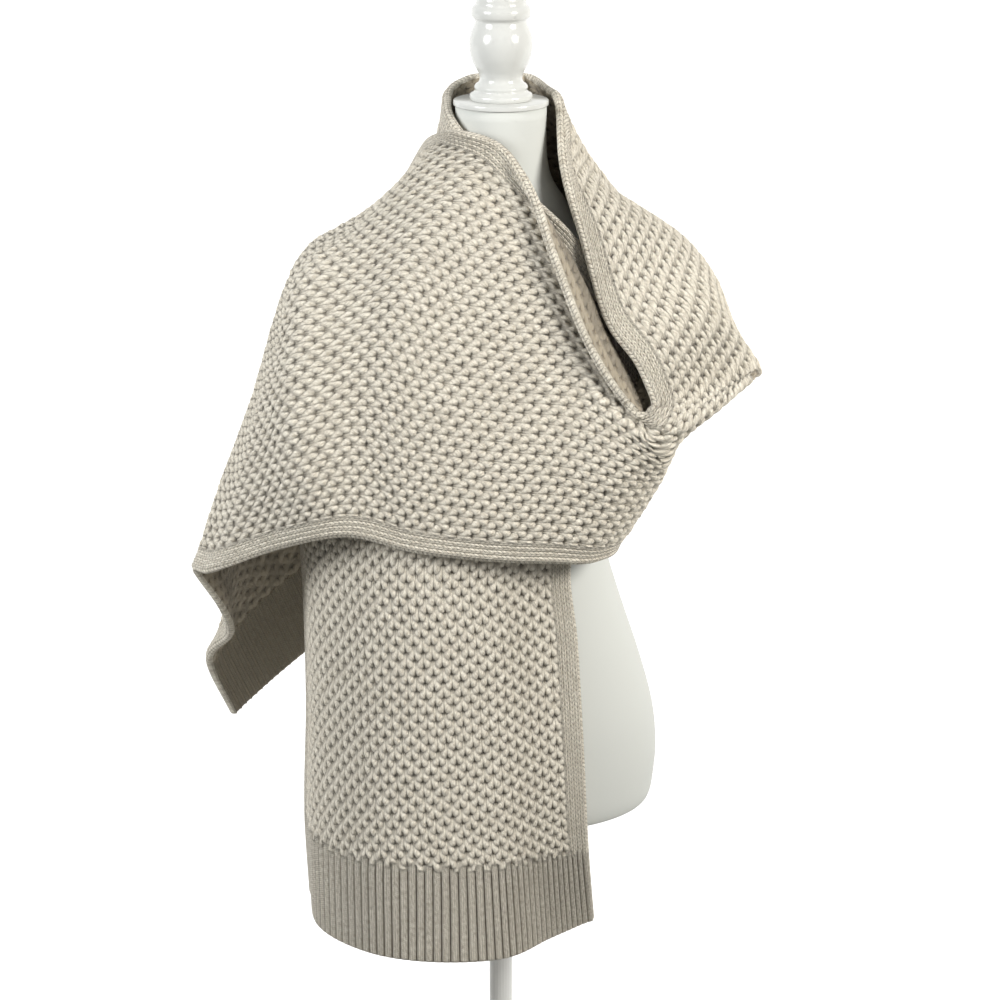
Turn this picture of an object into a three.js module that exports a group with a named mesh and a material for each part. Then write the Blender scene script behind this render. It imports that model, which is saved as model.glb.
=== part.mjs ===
// Long knit scarf draped as a wrap on a limbless dress form with a turned neck finial.
// Millimetres, +Z up. The origin is the centre of the underside of the stand's base.
// The form faces -Y, and +X is the side to the right of someone who looks at its front.
import * as THREE from 'three';

// Scarf: one strip of knitting with a ribbed hem at each end.
const cloth = {
  wall: 5.4, // thickness of the knit
  rim: 8.4, // thickness of the rolled borders
  rimWidth: 0.045, // share of the width over which a border swells
  seam: 0.3, // gap between neighbouring stretches
  ribs: 50, // ribs across each hem
  ribRise: 1.5, // height of a rib over its groove
  ribRows: 2,
  columns: 20, // cells across a plain stretch
};

// Dress form and stand.
const form = { segments: 36, cloth: 0xf1f1ef };
const neck = { radius: 48, top: 1250, bevel: 1, seat: 0.3 };
const pole = { radius: 12.5, sides: 24 };
const flange = { radius: 42, height: 8, bevel: 2 };
const base = { radius: 172, height: 12, bevel: 3, crown: 8, sides: 48, hub: 24, hubHeight: 20 };

// Sections of the body of the form from the bottom up: height, half width, and depth in front and behind.
const torsoRows = [
  { z: 496, half: 147, front: 103, back: 101 },
  { z: 499, half: 155, front: 110, back: 108 },
  { z: 507, half: 160, front: 114, back: 112 },
  { z: 524, half: 163, front: 117, back: 115 },
  { z: 560, half: 165.5, front: 118, back: 116 },
  { z: 606, half: 161, front: 117, back: 114 },
  { z: 662, half: 146, front: 110, back: 108 },
  { z: 718, half: 127.5, front: 100, back: 98 },
  { z: 769, half: 112, front: 90, back: 88 },
  { z: 805, half: 104.5, front: 86, back: 83 },
  { z: 850, half: 109, front: 93, back: 84 },
  { z: 900, half: 121, front: 107, back: 89 },
  { z: 940, half: 134, front: 119, back: 94 },
  { z: 975, half: 146, front: 122, back: 96 },
  { z: 1020, half: 158, front: 110, back: 93 },
  { z: 1055, half: 163, front: 91, back: 86 },
  { z: 1076, half: 152, front: 79, back: 77 },
  { z: 1092, half: 131, front: 70, back: 69 },
  { z: 1108, half: 104, front: 62, back: 61 },
  { z: 1126, half: 80, front: 56, back: 56 },
  { z: 1150, half: 64, front: 51, back: 51 },
  { z: 1172, half: 51, front: 48, back: 48 },
  { z: 1200, half: 46, front: 46, back: 46 },
  { z: 1244.7, half: 46, front: 46, back: 46 },
];

// Turned neck finial: height over the neck cap and radius.
const finialRows = [
  { up: 0.3, r: 30.5 },
  { up: 3, r: 31.8 },
  { up: 6, r: 31.2 },
  { up: 8, r: 28 },
  { up: 10, r: 26.4 },
  { up: 13, r: 27 },
  { up: 15.5, r: 25.6 },
  { up: 18, r: 22.6 },
  { up: 22, r: 21.4 },
  { up: 27, r: 22.6 },
  { up: 34, r: 26.4 },
  { up: 44, r: 30.4 },
  { up: 56, r: 32 },
  { up: 67, r: 30.4 },
  { up: 76, r: 26.6 },
  { up: 80, r: 26.2 },
  { up: 83, r: 29 },
  { up: 87.5, r: 29.9 },
  { up: 92, r: 29 },
  { up: 95, r: 26 },
  { up: 102, r: 25 },
  { up: 110, r: 21.5 },
  { up: 116, r: 14.5 },
  { up: 120, r: 0 },
];

// Sections across the scarf, in the order of its length. Each row is one curve of the middle of the
// wall, from the edge that lies at the neck, across five guides, to the free edge.
const sections = {
  // Front end: hangs in front of the left leg side, from its ribbed hem up to the chest.
  hemEnd: {
    neck: [96, -66, 381], b: [50, -107, 378], c: [4, -150, 376], d: [-70, -157, 375],
    e: [-138, -136, 376], f: [-191, -77, 377], free: [-204, 12, 378],
  },
  hemTop: {
    neck: [89, -98, 470], b: [45, -120, 471], c: [-1, -147, 472], d: [-70, -153, 472],
    e: [-139, -131, 472], f: [-192, -77, 472], free: [-208, 12, 472],
  },
  hip: {
    neck: [82, -110, 600], b: [39, -124, 602], c: [-8, -143, 604], d: [-74, -148, 604],
    e: [-138, -126, 604], f: [-189, -74, 604], free: [-204, 12, 604],
  },
  belly: {
    neck: [75, -105, 712], b: [33, -119, 716], c: [-14, -140, 718], d: [-78, -145, 720],
    e: [-140, -122, 720], f: [-190, -72, 720], free: [-205, 12, 720],
  },
  waist: {
    neck: [68, -101, 795], b: [27, -120, 800], c: [-20, -137, 803], d: [-82, -140, 804],
    e: [-142, -116, 804], f: [-191, -68, 804], free: [-208, 14, 802],
  },
  // Under layer: over the left shoulder and behind the neck.
  ribCage: {
    neck: [94, -106, 888], b: [38, -126, 896], c: [-12, -135, 902], d: [-70, -133, 901],
    e: [-129, -114, 897], f: [-182, -70, 883], free: [-204, 16, 842],
  },
  bust: {
    neck: [133, -94, 983], b: [74, -122, 996], c: [16, -132, 1002], d: [-46, -128, 1000],
    e: [-108, -104, 990], f: [-168, -62, 964], free: [-202, 22, 881],
  },
  collarbone: {
    neck: [114, -84, 1062], b: [38, -98, 1080], c: [-40, -94, 1084], d: [-110, -74, 1076],
    e: [-164, -40, 1056], f: [-191, 4, 1000], free: [-199, 32, 904],
  },
  throat: {
    neck: [70, -72, 1126], b: [4, -75, 1130], c: [-64, -62, 1120], d: [-126, -42, 1098],
    e: [-174, -10, 1068], f: [-193, 24, 992], free: [-197, 40, 911],
  },
  throatHigh: {
    neck: [14, -59.2, 1176], b: [-42, -52, 1148], c: [-94, -36, 1116], d: [-144, -18, 1090],
    e: [-181, 10, 1054], f: [-194, 36, 982], free: [-194, 50, 909],
  },
  shoulder: {
    neck: [-43, -34, 1226], b: [-82, -14, 1150], c: [-128, 2, 1108], d: [-168, 16, 1076],
    e: [-190, 38, 1024], f: [-191, 52, 955], free: [-184, 60, 888],
  },
  shoulderBlade: {
    neck: [-54, 20, 1249], b: [-68, 40, 1178], c: [-106, 54, 1116], d: [-150, 60, 1072],
    e: [-174, 74, 1014], f: [-174, 82, 940], free: [-164, 84, 872],
  },
  napeLeft: {
    neck: [-32, 50, 1263], b: [-40, 62, 1190], c: [-60, 76, 1124], d: [-86, 92, 1056],
    e: [-98, 98, 982], f: [-96, 96, 908], free: [-88, 92, 838],
  },
  nape: {
    neck: [0, 61, 1262], b: [0, 68, 1190], c: [0, 88, 1120], d: [0, 104, 1048],
    e: [0, 110, 975], f: [0, 106, 901], free: [0, 101, 828],
  },
  napeRight: {
    neck: [46, 43, 1254], b: [66, 62, 1198], c: [104, 78, 1136], d: [146, 90, 1078],
    e: [170, 92, 1006], f: [169, 92, 930], free: [150, 90, 850],
  },
  collarSide: {
    neck: [57, 4, 1249], b: [80, 34, 1197], c: [114, 64, 1144], d: [154, 84, 1086],
    e: [176, 90, 1014], f: [176, 89, 940], free: [158, 86, 864],
  },
  // Right side: the collar comes down in front and turns back on itself as a soft fold.
  collarRight: {
    neck: [61, -38, 1198], b: [80, 8, 1181], c: [118, 48, 1142], d: [160, 74, 1100],
    e: [180, 84, 1030], f: [180, 84, 956], free: [163, 83, 878],
  },
  lapel: {
    neck: [82, -82, 1123], b: [120, -42, 1134], c: [167, 5, 1117], d: [200, 48, 1078],
    e: [212, 70, 1015], f: [200, 76, 942], free: [163, 72, 872],
  },
  lapelLow: {
    neck: [103, -116, 1056], b: [144, -86, 1083], c: [190, -40, 1089], d: [219, 8, 1060],
    e: [227, 44, 1003], f: [214, 56, 936], free: [168, 60, 880],
  },
  elbow: {
    neck: [137, -138, 1008], b: [182, -112, 1032], c: [224, -70, 1035], d: [246, -16, 990],
    e: [224, 26, 936], f: [184, 42, 898], free: [148, 46, 858],
  },
  crease: {
    neck: [150, -149, 980], b: [196, -114, 989], c: [243, -72, 995], d: [259, -30, 977],
    e: [218, 8, 934], f: [174, 26, 894], free: [138, 32, 842],
  },
  roll: {
    neck: [147, -153, 969], b: [181, -153, 961], c: [216, -130, 971], d: [252, -84, 985],
    e: [230, -38, 966], f: [178, -6, 918], free: [136, 6, 834],
  },
  underRoll: {
    neck: [140, -156, 965], b: [162, -160, 946], c: [176, -144, 938], d: [174, -106, 922],
    e: [162, -78, 892], f: [145, -60, 856], free: [121, -48, 812],
  },
  turn: {
    neck: [131, -158, 969], b: [144, -161, 940], c: [157, -150, 918], d: [158, -126, 894],
    e: [147, -112, 866], f: [131, -104, 836], free: [113, -92, 804],
  },
  // Chest: the wrap crosses the front and goes over the left shoulder.
  waistFront: {
    neck: [114, -157, 989], b: [117, -158, 956], c: [124, -159, 926], d: [127, -150, 896],
    e: [122, -139, 865], f: [110, -132, 834], free: [95, -122, 805],
  },
  chestLow: {
    neck: [84, -147, 1038], b: [70, -138, 1006], c: [60, -150, 962], d: [54, -156, 924],
    e: [52, -156, 887], f: [50, -152, 849], free: [47, -146, 811],
  },
  chest: {
    neck: [52, -118, 1115], b: [30, -114, 1084], c: [8, -132, 1036], d: [-8, -147, 984],
    e: [-16, -156, 929], f: [-20, -157, 872], free: [-22, -152, 816],
  },
  chestHigh: {
    neck: [28, -86, 1177], b: [0, -88, 1148], c: [-30, -107, 1101], d: [-58, -129, 1042],
    e: [-76, -146, 973], f: [-86, -153, 900], free: [-92, -151, 825],
  },
  yoke: {
    neck: [-1, -64, 1213], b: [-32, -68, 1188], c: [-68, -84, 1142], d: [-104, -108, 1078],
    e: [-130, -129, 1004], f: [-148, -141, 921], free: [-158, -140, 837],
  },
  yokeLeft: {
    neck: [-38, -56, 1226], b: [-68, -46, 1197], c: [-111, -60, 1147], d: [-155, -85, 1078],
    e: [-187, -106, 1000], f: [-208, -119, 912], free: [-222, -118, 817],
  },
  // Left side: from the shoulder down to the back end and its ribbed hem.
  capeFront: {
    neck: [-63, -20, 1216], b: [-97, -12, 1170], c: [-150, -28, 1122], d: [-199, -46, 1066],
    e: [-227, -70, 982], f: [-254, -86, 890], free: [-278, -99, 791],
  },
  capeShoulder: {
    neck: [-75, 20, 1199], b: [-122, 12, 1128], c: [-191, 8, 1099], d: [-225, -5, 1034],
    e: [-245, -30, 950], f: [-273, -52, 868], free: [-300, -82, 779],
  },
  capeTip: {
    neck: [-86, 64, 1168], b: [-140, 60, 1104], c: [-205, 52, 1060], d: [-236, 36, 990],
    e: [-262, 12, 918], f: [-290, -18, 846], free: [-315, -58, 773],
  },
  capeBack: {
    neck: [-86, 104, 1108], b: [-146, 104, 1062], c: [-198, 94, 1000], d: [-238, 78, 932],
    e: [-268, 54, 862], f: [-288, 22, 792], free: [-294, -28, 724],
  },
  capeLow: {
    neck: [-62, 116, 1035], b: [-116, 124, 980], c: [-170, 126, 922], d: [-220, 120, 862],
    e: [-261, 98, 800], f: [-290, 56, 742], free: [-287, 6, 683],
  },
  endTop: {
    neck: [-4, 134, 905], b: [-52, 144, 850], c: [-104, 152, 800], d: [-159, 152, 754],
    e: [-218, 138, 712], f: [-276, 104, 670], free: [-315, 52, 630],
  },
  endHem: {
    neck: [35, 145, 825], b: [-15, 158, 772], c: [-70, 168, 724], d: [-128, 170, 676],
    e: [-188, 160, 629], f: [-246, 132, 588], free: [-293, 86, 558],
  },
};

// The neck edge of the wrap rolls outwards: at these sections the fold under the rolled edge lies
// this far from the straight line between the edge and the chest.
const edgeRoll = { at: 0.07, spread: 0.052 };
const rollRows = {
  underRoll: [0, 0, 0],
  turn: [6, 10, 2],
  waistFront: [24, 26, 4],
  chestLow: [36, 30, 4],
  chest: [30, 26, 4],
  chestHigh: [10, 12, 2],
  yoke: [0, 0, 0],
};

// Stretches of the scarf: the sections that each runs between and its cells along the length.
const stretches = [
  { name: 'front_rib_hem', from: 'hemEnd', to: 'hemTop', rows: cloth.ribRows, ribbed: true },
  { name: 'front_panel', from: 'hemTop', to: 'ribCage', rows: 8 },
  { name: 'left_shoulder_under', from: 'ribCage', to: 'napeLeft', rows: 14 },
  { name: 'back_stretch', from: 'napeLeft', to: 'napeRight', rows: 6 },
  { name: 'right_collar', from: 'napeRight', to: 'elbow', rows: 12 },
  { name: 'right_fold', from: 'elbow', to: 'turn', rows: 14 },
  { name: 'chest_wrap', from: 'turn', to: 'yokeLeft', rows: 16 },
  { name: 'left_cape', from: 'yokeLeft', to: 'endTop', rows: 15 },
  { name: 'back_rib_hem', from: 'endTop', to: 'endHem', rows: cloth.ribRows, ribbed: true },
];

const guideNames = ['neck', 'b', 'c', 'd', 'e', 'f', 'free'];
const sectionNames = Object.keys(sections);
const grid = sectionNames.map((name) =>
  guideNames.map((guide) => new THREE.Vector3(...sections[name][guide])));

// Place of each section along the scarf: the mean distance to the one before.
const stations = [0];
for (let i = 1; i < grid.length; i += 1) {
  const step = grid[i].reduce((sum, p, j) => sum + p.distanceTo(grid[i - 1][j]), 0);
  stations.push(stations[i - 1] + step / guideNames.length);
}
const stationOf = (name) => stations[sectionNames.indexOf(name)];
const evenly = guideNames.map((_, j) => j / (guideNames.length - 1));

// Cubic through points at given places, with slopes from the neighbours on each side.
function along(points, places, at) {
  let i = 0;
  while (i < places.length - 2 && at > places[i + 1]) i += 1;
  const slope = (k) => {
    const lo = Math.max(k - 1, 0);
    const hi = Math.min(k + 1, places.length - 1);
    if (lo === k || hi === k) {
      return points[hi].clone().sub(points[lo]).divideScalar(places[hi] - places[lo]);
    }
    const before = points[k].clone().sub(points[lo]).divideScalar(places[k] - places[lo]);
    const after = points[hi].clone().sub(points[k]).divideScalar(places[hi] - places[k]);
    const share = (places[k] - places[lo]) / (places[hi] - places[lo]);
    return before.multiplyScalar(1 - share).add(after.multiplyScalar(share));
  };
  const span = places[i + 1] - places[i];
  const t = (at - places[i]) / span;
  const t2 = t * t;
  const t3 = t2 * t;
  return points[i].clone().multiplyScalar(2 * t3 - 3 * t2 + 1)
    .addScaledVector(slope(i), (t3 - 2 * t2 + t) * span)
    .addScaledVector(points[i + 1], -2 * t3 + 3 * t2)
    .addScaledVector(slope(i + 1), (t3 - t2) * span);
}

const rolls = sectionNames.map((name) => new THREE.Vector3(...(rollRows[name] ?? [0, 0, 0])));

// Middle of the wall at a place along the scarf (mm) and across it (0 neck edge, 1 free edge).
function middle(at, across) {
  const guides = guideNames.map((_, j) => along(grid.map((row) => row[j]), stations, at));
  const point = along(guides, evenly, across);
  const off = (across - edgeRoll.at) / edgeRoll.spread;
  const bump = Math.exp(-off * off) - Math.exp(-((edgeRoll.at / edgeRoll.spread) ** 2));
  return bump > 0 ? point.addScaledVector(along(rolls, stations, at), bump) : point;
}

// Outward normal of the right side of the knit.
function outward(at, across) {
  const length = stations[stations.length - 1];
  const step = 1.5;
  const dAt = middle(Math.min(at + step, length), across).sub(middle(Math.max(at - step, 0), across));
  const share = 0.004;
  const dAcross = middle(at, Math.min(across + share, 1)).sub(middle(at, Math.max(across - share, 0)));
  return dAt.cross(dAcross).normalize();
}

// Half the wall's thickness, fuller at the rolled borders.
function halfWall(across) {
  const fromEdge = Math.min(across, 1 - across) / cloth.rimWidth;
  const swell = Math.max(0, 1 - fromEdge);
  return (cloth.wall + (cloth.rim - cloth.wall) * swell * swell * (3 - 2 * swell)) / 2;
}

// Places across a stretch: close together at the borders, or three to a rib on a hem.
function placesAcross(stretch) {
  if (!stretch.ribbed) {
    const near = [0, 0.02, 0.045, 0.07, 0.095, 0.125];
    const rest = Array.from({ length: cloth.columns - near.length - 1 }, (_, i) =>
      0.165 + (0.79 * i) / (cloth.columns - near.length - 2));
    return [...near, ...rest, 0.98, 1].map((w) => ({ w, rise: 0 }));
  }
  const places = [];
  for (let rib = 0; rib < cloth.ribs; rib += 1) {
    places.push({ w: rib / cloth.ribs, rise: -cloth.ribRise / 2 });
    places.push({ w: (rib + 0.3) / cloth.ribs, rise: cloth.ribRise / 2 });
    places.push({ w: (rib + 0.7) / cloth.ribs, rise: cloth.ribRise / 2 });
  }
  places.push({ w: 1, rise: -cloth.ribRise / 2 });
  return places;
}

// Closed wall over one stretch: right side, wrong side and the edges all round.
function wall(stretch) {
  const from = stationOf(stretch.from) + cloth.seam / 2;
  const to = stationOf(stretch.to) - cloth.seam / 2;
  const places = placesAcross(stretch);
  const across = places.length;
  const rows = stretch.rows + 1;
  const points = [];
  for (const side of [1, -1]) {
    for (let i = 0; i < rows; i += 1) {
      const at = from + ((to - from) * i) / stretch.rows;
      for (const { w, rise } of places) {
        const normal = outward(at, w);
        const half = halfWall(w) + (side > 0 ? rise : 0);
        points.push(middle(at, w).addScaledVector(normal, side * half));
      }
    }
  }
  // Rounded long edges: one more line of points beyond each border.
  const edgeStart = points.length;
  for (const w of [0, 1]) {
    for (let i = 0; i < rows; i += 1) {
      const at = from + ((to - from) * i) / stretch.rows;
      const inside = w === 0 ? 0.01 : 0.99;
      const way = middle(at, w).sub(middle(at, inside)).normalize();
      points.push(middle(at, w).addScaledVector(way, halfWall(w) * 0.8));
    }
  }
  const id = (side, i, j) => side * rows * across + i * across + j;
  const rim = (end, i) => edgeStart + end * rows + i;
  const faces = [];
  const quad = (a, b, c, d) => faces.push([a, b, c], [a, c, d]);
  for (let i = 0; i < stretch.rows; i += 1) {
    for (let j = 0; j < across - 1; j += 1) {
      quad(id(0, i, j), id(0, i + 1, j), id(0, i + 1, j + 1), id(0, i, j + 1));
      quad(id(1, i, j), id(1, i, j + 1), id(1, i + 1, j + 1), id(1, i + 1, j));
    }
    quad(id(0, i, 0), rim(0, i), rim(0, i + 1), id(0, i + 1, 0));
    quad(rim(0, i), id(1, i, 0), id(1, i + 1, 0), rim(0, i + 1));
    const last = across - 1;
    quad(id(0, i, last), id(0, i + 1, last), rim(1, i + 1), rim(1, i));
    quad(rim(1, i), rim(1, i + 1), id(1, i + 1, last), id(1, i, last));
  }
  for (const [i, turned] of [[0, false], [stretch.rows, true]]) {
    const end = [];
    for (let j = 0; j < across - 1; j += 1) {
      end.push([id(0, i, j), id(0, i, j + 1), id(1, i, j + 1)]);
      end.push([id(0, i, j), id(1, i, j + 1), id(1, i, j)]);
    }
    end.push([rim(0, i), id(0, i, 0), id(1, i, 0)]);
    end.push([id(0, i, across - 1), rim(1, i), id(1, i, across - 1)]);
    faces.push(...(turned ? end.map(([a, b, c]) => [a, c, b]) : end));
  }
  return closedGeometry(points, faces);
}

function closedGeometry(points, faces) {
  const geometry = new THREE.BufferGeometry();
  const flat = points.flatMap((p) => [p.x, p.y, p.z]);
  geometry.setAttribute('position', new THREE.Float32BufferAttribute(flat, 3));
  geometry.setIndex(faces.flat());
  geometry.computeVertexNormals();
  return geometry;
}

// Loft through the sections of the form, with a flat face at the bottom and the top.
function torso() {
  const points = [];
  for (const row of torsoRows) {
    for (let i = 0; i < form.segments; i += 1) {
      const angle = (2 * Math.PI * i) / form.segments;
      const depth = Math.sin(angle) < 0 ? row.front : row.back;
      points.push(new THREE.Vector3(row.half * Math.cos(angle), depth * Math.sin(angle), row.z));
    }
  }
  const n = form.segments;
  const faces = [];
  for (let r = 0; r < torsoRows.length - 1; r += 1) {
    for (let i = 0; i < n; i += 1) {
      const j = (i + 1) % n;
      faces.push([r * n + i, r * n + j, (r + 1) * n + j], [r * n + i, (r + 1) * n + j, (r + 1) * n + i]);
    }
  }
  const top = (torsoRows.length - 1) * n;
  for (let i = 1; i < n - 1; i += 1) {
    faces.push([0, i + 1, i], [top, top + i, top + i + 1]);
  }
  return closedGeometry(points, faces);
}

// Turned part: a profile of radius and height that starts and ends on the axis.
function turned(profile, sides) {
  const geometry = new THREE.LatheGeometry(profile.map(([r, z]) => new THREE.Vector2(r, z)), sides);
  return geometry.rotateX(Math.PI / 2);
}

const group = new THREE.Group();
function add(name, geometry, material) {
  const mesh = new THREE.Mesh(geometry, material);
  mesh.name = name;
  group.add(mesh);
}

const paint = (color, roughness, metalness = 0) =>
  new THREE.MeshStandardMaterial({ color, roughness, metalness });
const knit = () => paint(0xd9d1c1, 0.95);

for (const stretch of stretches) add(stretch.name, wall(stretch), knit());

add('torso', torso(), paint(form.cloth, 0.8));

const capBottom = torsoRows[torsoRows.length - 1].z + neck.seat;
add('neck_cap', turned([
  [0, capBottom], [neck.radius - neck.bevel / 2, capBottom], [neck.radius, capBottom + neck.bevel],
  [neck.radius, neck.top - neck.bevel], [neck.radius - neck.bevel, neck.top], [0, neck.top],
], 40), paint(0xf4f4f2, 0.45));

add('finial', turned([
  [0, neck.top + finialRows[0].up],
  ...finialRows.map(({ up, r }) => [r, neck.top + up]),
], 32), paint(0xf6f6f4, 0.25));

const torsoBottom = torsoRows[0].z;
const flangeTop = torsoBottom - neck.seat;
add('bottom_flange', turned([
  [0, flangeTop - flange.height], [flange.radius - flange.bevel, flangeTop - flange.height],
  [flange.radius, flangeTop - flange.height + flange.bevel], [flange.radius, flangeTop], [0, flangeTop],
], 32), paint(0xf4f4f2, 0.4));

const baseTop = base.height + base.crown;
const hubTop = baseTop + base.hubHeight;
add('pole', turned([
  [0, hubTop + neck.seat], [pole.radius, hubTop + neck.seat],
  [pole.radius, flangeTop - flange.height - neck.seat], [0, flangeTop - flange.height - neck.seat],
], pole.sides), paint(0xf4f4f2, 0.35));

add('base', turned([
  [0, 0], [base.radius - base.bevel / 2, 0], [base.radius, base.bevel / 2],
  [base.radius, base.height - base.bevel], [base.radius - base.bevel, base.height],
  [base.radius * 0.6, base.height + base.crown * 0.6], [base.hub * 1.25, baseTop],
  [base.hub, baseTop + base.hubHeight * 0.3], [base.hub * 0.75, hubTop - base.bevel / 2],
  [base.hub * 0.67, hubTop], [0, hubTop],
], base.sides), paint(0xf4f4f2, 0.35));

export default group;
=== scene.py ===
import math

import bpy
import numpy as np
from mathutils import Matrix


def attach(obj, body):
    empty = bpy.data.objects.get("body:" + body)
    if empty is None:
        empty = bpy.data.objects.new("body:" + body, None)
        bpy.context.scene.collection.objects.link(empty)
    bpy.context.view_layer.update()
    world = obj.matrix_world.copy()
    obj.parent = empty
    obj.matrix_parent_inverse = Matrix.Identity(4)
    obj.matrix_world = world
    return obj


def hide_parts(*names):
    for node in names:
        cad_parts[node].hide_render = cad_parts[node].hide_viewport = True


# A long knit scarf worn as a wrap by a limbless dress form with a turned neck finial.
# Metres in the part's own frame: +Z up, the form faces -Y, the floor is at 0.
# Cloth, form and finial are written in millimetres and turned to metres where a mesh is made.

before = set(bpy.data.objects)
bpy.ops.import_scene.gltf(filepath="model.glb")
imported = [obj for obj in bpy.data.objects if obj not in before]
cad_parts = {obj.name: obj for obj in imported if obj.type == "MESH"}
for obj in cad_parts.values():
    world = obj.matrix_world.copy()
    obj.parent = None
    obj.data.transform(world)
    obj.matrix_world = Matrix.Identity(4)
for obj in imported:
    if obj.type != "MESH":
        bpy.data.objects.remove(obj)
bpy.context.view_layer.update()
mm = 0.001
print("frame loaded")


# Materials.


# Turns a colour as the eye sees it to linear light.
def colour(code):
    channels = [int(code[i : i + 2], 16) / 255 for i in (1, 3, 5)]
    linear = [c / 12.92 if c <= 0.04045 else ((c + 0.055) / 1.055) ** 2.4 for c in channels]
    return (*linear, 1.0)


def newMaterial(name):
    material = bpy.data.materials.new(name)
    material.use_nodes = True
    return material, material.node_tree, material.node_tree.nodes["Principled BSDF"]


# Inputs are given in order or by name. A node stands for its first output, a node or a socket is
# linked, and any other value is set.
def fillInputs(tree, node, inputs):
    for key, value in inputs.items() if isinstance(inputs, dict) else enumerate(inputs):
        source = value.outputs[0] if isinstance(value, bpy.types.Node) else value
        if isinstance(source, bpy.types.NodeSocket):
            tree.links.new(source, node.inputs[key])
        else:
            node.inputs[key].default_value = value


def addNode(tree, kind, inputs=(), **settings):
    node = tree.nodes.new("ShaderNode" + kind)
    for key, value in settings.items():
        setattr(node, key, value)
    fillInputs(tree, node, inputs)
    return node


# Buds of the all-over pattern: two plump lobes side by side that melt into one tip and taper into
# tails, with a dark notch below. Sizes in millimetres, along the strip from the bottom of the lobes.
bud = {
    "columns": 8.95,
    "rows": 16.4,
    "along": [0.0, 0.8, 2.2, 4.2, 6.2, 8.2, 10.2, 12.2, 14.5, 16.4],
    "edge": [4.3, 5.8, 6.8, 7.3, 7.0, 6.1, 4.9, 3.5, 2.4, 2.1],
    "inner": [2.2, 1.2, 0.6, 0.2, 0.0, 0.0, 0.0, 0.0, 0.1, 0.4],
    "rise": [0.9, 2.2, 3.1, 3.6, 3.6, 3.2, 2.6, 1.9, 1.3, 0.8],
    "melt": [0.0, 0.0, 0.1, 0.25, 0.5, 0.7, 0.75, 0.6, 0.35, 0.1],  # how far the lobes are one
    "place": 0.18,  # how unevenly the buds stand
    "uneven": 0.1,  # and how unevenly they rise, as a share
    "deepTo": 1.2,  # below this height the knit gets painted shade
    "hidden": 1.9,  # height of the smooth knit where another layer lies on it
}

# Heathered wool yarn, two-ply, soft and matt: pale fibres with a few darker ones,
# and a warm dark painted shade in the hollows between the stitches.
wool = {
    "pale": "#ece6d7",
    "fibre": "#b5ab99",
    # colour of the painted shade in the hollows of the knit
    "paintedShadeInHollows": "#5f5544",
    # the same yarn, darker on the wrong side: painted shade for where it lies inside the folds
    "wrongSideShadedPale": "#ab9f8a",
    "fibreWidth": 1.5,  # millimetres, coarser than a real fibre, so that it shows
    "fibreLength": 5.0,
    "fibreLean": 0.42,  # radians, outwards on each lobe of a bud
    "plyPitch": 2.2,
    "waves": 1.6,  # of the ply's texture in one unit of its scale
    "fuzzPerMm": 0.6,
    "patchPerMm": 0.035,
    "roughness": 0.92,
    "sheen": 0.25,
    "fibreDepth": 0.0016,  # metres, as are the stitches' below
    "stitchDepth": 0.0006,
    "stitchRise": 1.6,  # height of a plain stitch beside that of the buds
    "legSlope": 0.8,
    # From and to of what is read, and the share of the darker colour that they give.
    "darkFibres": (0.42, 0.62, 0.0, 0.75),
    "darkPatches": (0.3, 0.7, 0.0, 0.16),
    # the next three give painted shade: deep in the knit, between the buds and between the plain stitches
    "paintedShadeFromDepth": (0.0, 0.45, 0.9, 0.0),
    "paintedShadeBetweenBuds": (0.2, 1.75, 0.66, 0.0),
    "paintedShadeBetweenStitches": (0.0, 0.62, 0.8, 0.0),
}


# One size of a bud at a share of its row, drawn as a curve on a node.
def budCurve(tree, row, key):
    node = addNode(tree, "FloatCurve", {"Value": row})
    curve = node.mapping.curves[0]
    widest = 8.0
    places = [(y / bud["rows"], size / widest) for y, size in zip(bud["along"], bud[key])]
    curve.points[0].location, curve.points[1].location = places[0], places[-1]
    for x, y in places[1:-1]:
        curve.points.new(x, y)
    node.mapping.update()
    return addNode(tree, "Math", (node, widest), operation="MULTIPLY")


# Height of a half circle at a share of its width.
def roundOff(tree, share):
    square = addNode(tree, "Math", (share, share), operation="MULTIPLY")
    below = addNode(tree, "Math", (1, square), operation="SUBTRACT")
    inside = addNode(tree, "Math", (below, 0), operation="MAXIMUM")
    return addNode(tree, "Math", [inside], operation="SQRT")


# Height of one column of buds (mm) beside its middle line: two humps that melt into one.
def budHeight(tree, aside, row):
    edge, inner, rise, melt = (budCurve(tree, row, key) for key in ("edge", "inner", "rise", "melt"))
    fromInner = addNode(tree, "Math", (aside, inner), operation="SUBTRACT")
    lobeWidth = addNode(tree, "Math", (edge, inner), operation="SUBTRACT")
    way = addNode(tree, "Math", (fromInner, lobeWidth), operation="DIVIDE")
    two = roundOff(tree, addNode(tree, "Math", (way, 2, -1), operation="MULTIPLY_ADD"))
    one = roundOff(tree, addNode(tree, "Math", (aside, edge), operation="DIVIDE"))
    change = addNode(tree, "Math", (one, two), operation="SUBTRACT")
    humps = addNode(tree, "Math", (melt, change, two), operation="MULTIPLY_ADD")
    return addNode(tree, "Math", (humps, rise), operation="MULTIPLY")


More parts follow.
